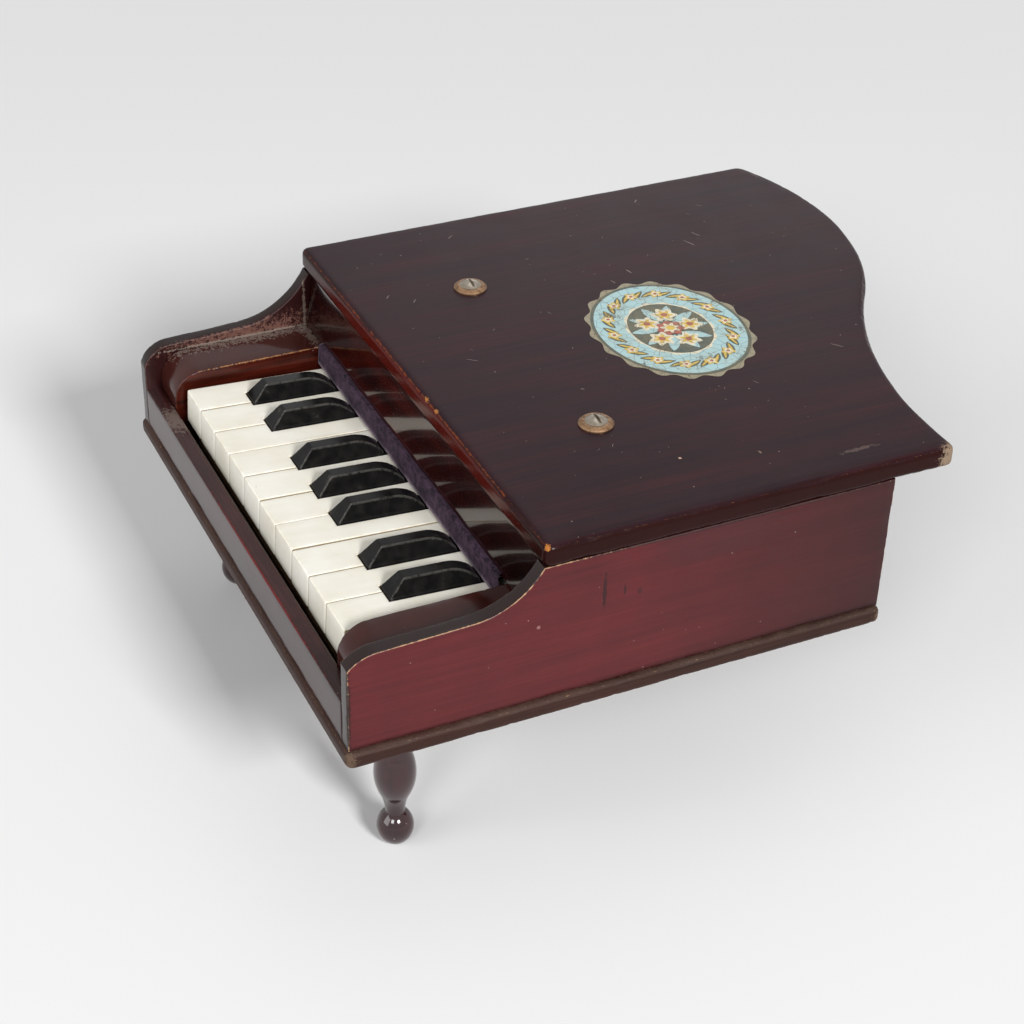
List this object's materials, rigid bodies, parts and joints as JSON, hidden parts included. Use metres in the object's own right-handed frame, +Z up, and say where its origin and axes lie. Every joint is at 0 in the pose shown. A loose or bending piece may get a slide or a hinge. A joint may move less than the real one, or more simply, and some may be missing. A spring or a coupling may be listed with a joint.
{
  "type": "toy piano",
  "caption": "Toy grand piano: wooden case with curved lid on turned legs, keys that pivot on a wire and swing hammers up to steel tone rods under the lid.",
  "frame": {"origin": "on the floor, at the centre of the footprint box", "axes": "+Y from the keyboard to the tail, +X from bass to treble, +Z up"},
  "size_m": [0.224, 0.2792, 0.1347],
  "materials": {
    "case_mahogany": "red mahogany stain under gloss varnish, worn arrises",
    "lid_mahogany": "dark mahogany stain under satin varnish, worn arrises",
    "nameboard_varnish": "dark red stain under mirror-gloss varnish",
    "velvet_felt": "purple velvet pile",
    "rail_felt": "pressed wool felt",
    "bare_pine": "planed softwood, unfinished",
    "ivory_paint": "ivory enamel on wood",
    "black_lacquer": "black gloss lacquer on wood",
    "nickel_screw": "nickel plate",
    "brass_washer": "tarnished brass",
    "cast_bar": "black casting",
    "steel_wire": "drawn steel"
  },
  "bodies": {
    "case": {"base_board": "case_mahogany", "side_panel_left": "case_mahogany", "side_panel_right": "case_mahogany", "cheek_left": "case_mahogany", "cheek_right": "case_mahogany", "front_rail": "case_mahogany", "nameboard": "nameboard_varnish", "nameboard_felt": "velvet_felt", "back_panel": "case_mahogany", "lid": "lid_mahogany", "leg_front_left": "case_mahogany", "leg_front_right": "case_mahogany", "leg_rear": "case_mahogany", "lid_screws": "nickel_screw", "lid_washers": "brass_washer", "sound_bar": "cast_bar", "tone_rods": "steel_wire", "key_wire": "steel_wire", "hammer_wire": "steel_wire", "hammer_rail": "bare_pine", "key_stop_rail": "bare_pine", "key_stop_felt": "rail_felt", "key_rest_rail": "bare_pine", "key_rest_felt": "rail_felt"},
    "white_key_1": {"white_key_1": "ivory_paint"},
    "hammer_1": {"hammer_1": "bare_pine"},
    "black_key_1": {"black_key_1": "black_lacquer"},
    "hammer_2": {"hammer_2": "bare_pine"},
    "white_key_2": {"white_key_2": "ivory_paint"},
    "hammer_3": {"hammer_3": "bare_pine"},
    "black_key_2": {"black_key_2": "black_lacquer"},
    "hammer_4": {"hammer_4": "bare_pine"},
    "white_key_3": {"white_key_3": "ivory_paint"},
    "hammer_5": {"hammer_5": "bare_pine"},
    "white_key_4": {"white_key_4": "ivory_paint"},
    "hammer_6": {"hammer_6": "bare_pine"},
    "black_key_3": {"black_key_3": "black_lacquer"},
    "hammer_7": {"hammer_7": "bare_pine"},
    "white_key_5": {"white_key_5": "ivory_paint"},
    "hammer_8": {"hammer_8": "bare_pine"},
    "black_key_4": {"black_key_4": "black_lacquer"},
    "hammer_9": {"hammer_9": "bare_pine"},
    "white_key_6": {"white_key_6": "ivory_paint"},
    "hammer_10": {"hammer_10": "bare_pine"},
    "black_key_5": {"black_key_5": "black_lacquer"},
    "hammer_11": {"hammer_11": "bare_pine"},
    "white_key_7": {"white_key_7": "ivory_paint"},
    "hammer_12": {"hammer_12": "bare_pine"},
    "white_key_8": {"white_key_8": "ivory_paint"},
    "hammer_13": {"hammer_13": "bare_pine"},
    "black_key_6": {"black_key_6": "black_lacquer"},
    "hammer_14": {"hammer_14": "bare_pine"},
    "white_key_9": {"white_key_9": "ivory_paint"},
    "hammer_15": {"hammer_15": "bare_pine"},
    "black_key_7": {"black_key_7": "black_lacquer"},
    "hammer_16": {"hammer_16": "bare_pine"},
    "white_key_10": {"white_key_10": "ivory_paint"},
    "hammer_17": {"hammer_17": "bare_pine"}
  },
  "joints": [
    {"name": "white_key_1_press", "type": "hinge", "parent": "case", "child": "white_key_1", "pos_m": [-0.07751, -0.0604, 0.08642], "axis": [1, 0, 0], "range_deg": [0, 4.2], "stiffness_Nm_per_rad": 0.25, "springref_deg": -2.86},
    {"name": "hammer_1_swing", "type": "hinge", "parent": "case", "child": "hammer_1", "pos_m": [-0.07751, -0.0404, 0.1047], "axis": [1, 0, 0], "range_deg": [0, 10.3]},
    {"name": "black_key_1_press", "type": "hinge", "parent": "case", "child": "black_key_1", "pos_m": [-0.06822, -0.0604, 0.08642], "axis": [1, 0, 0], "range_deg": [0, 4.2], "stiffness_Nm_per_rad": 0.25, "springref_deg": -2.86},
    {"name": "hammer_2_swing", "type": "hinge", "parent": "case", "child": "hammer_2", "pos_m": [-0.06822, -0.0404, 0.1047], "axis": [1, 0, 0], "range_deg": [0, 10.3]},
    {"name": "white_key_2_press", "type": "hinge", "parent": "case", "child": "white_key_2", "pos_m": [-0.05806, -0.0604, 0.08642], "axis": [1, 0, 0], "range_deg": [0, 4.2], "stiffness_Nm_per_rad": 0.25, "springref_deg": -2.86},
    {"name": "hammer_3_swing", "type": "hinge", "parent": "case", "child": "hammer_3", "pos_m": [-0.05806, -0.0404, 0.1047], "axis": [1, 0, 0], "range_deg": [0, 10.3]},
    {"name": "black_key_2_press", "type": "hinge", "parent": "case", "child": "black_key_2", "pos_m": [-0.04789, -0.0604, 0.08642], "axis": [1, 0, 0], "range_deg": [0, 4.2], "stiffness_Nm_per_rad": 0.25, "springref_deg": -2.86},
    {"name": "hammer_4_swing", "type": "hinge", "parent": "case", "child": "hammer_4", "pos_m": [-0.04789, -0.0404, 0.1047], "axis": [1, 0, 0], "range_deg": [0, 10.3]},
    {"name": "white_key_3_press", "type": "hinge", "parent": "case", "child": "white_key_3", "pos_m": [-0.03794, -0.0604, 0.08642], "axis": [1, 0, 0], "range_deg": [0, 4.2], "stiffness_Nm_per_rad": 0.25, "springref_deg": -2.86},
    {"name": "hammer_5_swing", "type": "hinge", "parent": "case", "child": "hammer_5", "pos_m": [-0.03794, -0.0404, 0.1047], "axis": [1, 0, 0], "range_deg": [0, 10.3]},
    {"name": "white_key_4_press", "type": "hinge", "parent": "case", "child": "white_key_4", "pos_m": [-0.02848, -0.0604, 0.08642], "axis": [1, 0, 0], "range_deg": [0, 4.2], "stiffness_Nm_per_rad": 0.25, "springref_deg": -2.86},
    {"name": "hammer_6_swing", "type": "hinge", "parent": "case", "child": "hammer_6", "pos_m": [-0.02848, -0.0404, 0.1047], "axis": [1, 0, 0], "range_deg": [0, 10.3]},
    {"name": "black_key_3_press", "type": "hinge", "parent": "case", "child": "black_key_3", "pos_m": [-0.01935, -0.0604, 0.08642], "axis": [1, 0, 0], "range_deg": [0, 4.2], "stiffness_Nm_per_rad": 0.25, "springref_deg": -2.86},
    {"name": "hammer_7_swing", "type": "hinge", "parent": "case", "child": "hammer_7", "pos_m": [-0.01935, -0.0404, 0.1047], "axis": [1, 0, 0], "range_deg": [0, 10.3]},
    {"name": "white_key_5_press", "type": "hinge", "parent": "case", "child": "white_key_5", "pos_m": [-0.00943, -0.0604, 0.08642], "axis": [1, 0, 0], "range_deg": [0, 4.2], "stiffness_Nm_per_rad": 0.25, "springref_deg": -2.86},
    {"name": "hammer_8_swing", "type": "hinge", "parent": "case", "child": "hammer_8", "pos_m": [-0.00943, -0.0404, 0.1047], "axis": [1, 0, 0], "range_deg": [0, 10.3]},
    {"name": "black_key_4_press", "type": "hinge", "parent": "case", "child": "black_key_4", "pos_m": [0.00049, -0.0604, 0.08642], "axis": [1, 0, 0], "range_deg": [0, 4.2], "stiffness_Nm_per_rad": 0.25, "springref_deg": -2.86},
    {"name": "hammer_9_swing", "type": "hinge", "parent": "case", "child": "hammer_9", "pos_m": [0.00049, -0.0404, 0.1047], "axis": [1, 0, 0], "range_deg": [0, 10.3]},
    {"name": "white_key_6_press", "type": "hinge", "parent": "case", "child": "white_key_6", "pos_m": [0.00984, -0.0604, 0.08642], "axis": [1, 0, 0], "range_deg": [0, 4.2], "stiffness_Nm_per_rad": 0.25, "springref_deg": -2.86},
    {"name": "hammer_10_swing", "type": "hinge", "parent": "case", "child": "hammer_10", "pos_m": [0.00984, -0.0404, 0.1047], "axis": [1, 0, 0], "range_deg": [0, 10.3]},
    {"name": "black_key_5_press", "type": "hinge", "parent": "case", "child": "black_key_5", "pos_m": [0.01919, -0.0604, 0.08642], "axis": [1, 0, 0], "range_deg": [0, 4.2], "stiffness_Nm_per_rad": 0.25, "springref_deg": -2.86},
    {"name": "hammer_11_swing", "type": "hinge", "parent": "case", "child": "hammer_11", "pos_m": [0.01919, -0.0404, 0.1047], "axis": [1, 0, 0], "range_deg": [0, 10.3]},
    {"name": "white_key_7_press", "type": "hinge", "parent": "case", "child": "white_key_7", "pos_m": [0.02839, -0.0604, 0.08642], "axis": [1, 0, 0], "range_deg": [0, 4.2], "stiffness_Nm_per_rad": 0.25, "springref_deg": -2.86},
    {"name": "hammer_12_swing", "type": "hinge", "parent": "case", "child": "hammer_12", "pos_m": [0.02839, -0.0404, 0.1047], "axis": [1, 0, 0], "range_deg": [0, 10.3]},
    {"name": "white_key_8_press", "type": "hinge", "parent": "case", "child": "white_key_8", "pos_m": [0.03762, -0.0604, 0.08642], "axis": [1, 0, 0], "range_deg": [0, 4.2], "stiffness_Nm_per_rad": 0.25, "springref_deg": -2.86},
    {"name": "hammer_13_swing", "type": "hinge", "parent": "case", "child": "hammer_13", "pos_m": [0.03762, -0.0404, 0.1047], "axis": [1, 0, 0], "range_deg": [0, 10.3]},
    {"name": "black_key_6_press", "type": "hinge", "parent": "case", "child": "black_key_6", "pos_m": [0.04723, -0.0604, 0.08642], "axis": [1, 0, 0], "range_deg": [0, 4.2], "stiffness_Nm_per_rad": 0.25, "springref_deg": -2.86},
    {"name": "hammer_14_swing", "type": "hinge", "parent": "case", "child": "hammer_14", "pos_m": [0.04723, -0.0404, 0.1047], "axis": [1, 0, 0], "range_deg": [0, 10.3]},
    {"name": "white_key_9_press", "type": "hinge", "parent": "case", "child": "white_key_9", "pos_m": [0.05707, -0.0604, 0.08642], "axis": [1, 0, 0], "range_deg": [0, 4.2], "stiffness_Nm_per_rad": 0.25, "springref_deg": -2.86},
    {"name": "hammer_15_swing", "type": "hinge", "parent": "case", "child": "hammer_15", "pos_m": [0.05707, -0.0404, 0.1047], "axis": [1, 0, 0], "range_deg": [0, 10.3]},
    {"name": "black_key_7_press", "type": "hinge", "parent": "case", "child": "black_key_7", "pos_m": [0.06691, -0.0604, 0.08642], "axis": [1, 0, 0], "range_deg": [0, 4.2], "stiffness_Nm_per_rad": 0.25, "springref_deg": -2.86},
    {"name": "hammer_16_swing", "type": "hinge", "parent": "case", "child": "hammer_16", "pos_m": [0.06691, -0.0404, 0.1047], "axis": [1, 0, 0], "range_deg": [0, 10.3]},
    {"name": "white_key_10_press", "type": "hinge", "parent": "case", "child": "white_key_10", "pos_m": [0.07686, -0.0604, 0.08642], "axis": [1, 0, 0], "range_deg": [0, 4.2], "stiffness_Nm_per_rad": 0.25, "springref_deg": -2.86},
    {"name": "hammer_17_swing", "type": "hinge", "parent": "case", "child": "hammer_17", "pos_m": [0.07686, -0.0404, 0.1047], "axis": [1, 0, 0], "range_deg": [0, 10.3]}
  ],
  "couplings": [
    {"joint": "hammer_1_swing", "follows": "white_key_1_press", "ratio": 2.4286},
    {"joint": "hammer_2_swing", "follows": "black_key_1_press", "ratio": 2.4286},
    {"joint": "hammer_3_swing", "follows": "white_key_2_press", "ratio": 2.4286},
    {"joint": "hammer_4_swing", "follows": "black_key_2_press", "ratio": 2.4286},
    {"joint": "hammer_5_swing", "follows": "white_key_3_press", "ratio": 2.4286},
    {"joint": "hammer_6_swing", "follows": "white_key_4_press", "ratio": 2.4286},
    {"joint": "hammer_7_swing", "follows": "black_key_3_press", "ratio": 2.4286},
    {"joint": "hammer_8_swing", "follows": "white_key_5_press", "ratio": 2.4286},
    {"joint": "hammer_9_swing", "follows": "black_key_4_press", "ratio": 2.4286},
    {"joint": "hammer_10_swing", "follows": "white_key_6_press", "ratio": 2.4286},
    {"joint": "hammer_11_swing", "follows": "black_key_5_press", "ratio": 2.4286},
    {"joint": "hammer_12_swing", "follows": "white_key_7_press", "ratio": 2.4286},
    {"joint": "hammer_13_swing", "follows": "white_key_8_press", "ratio": 2.4286},
    {"joint": "hammer_14_swing", "follows": "black_key_6_press", "ratio": 2.4286},
    {"joint": "hammer_15_swing", "follows": "white_key_9_press", "ratio": 2.4286},
    {"joint": "hammer_16_swing", "follows": "black_key_7_press", "ratio": 2.4286},
    {"joint": "hammer_17_swing", "follows": "white_key_10_press", "ratio": 2.4286}
  ]
}
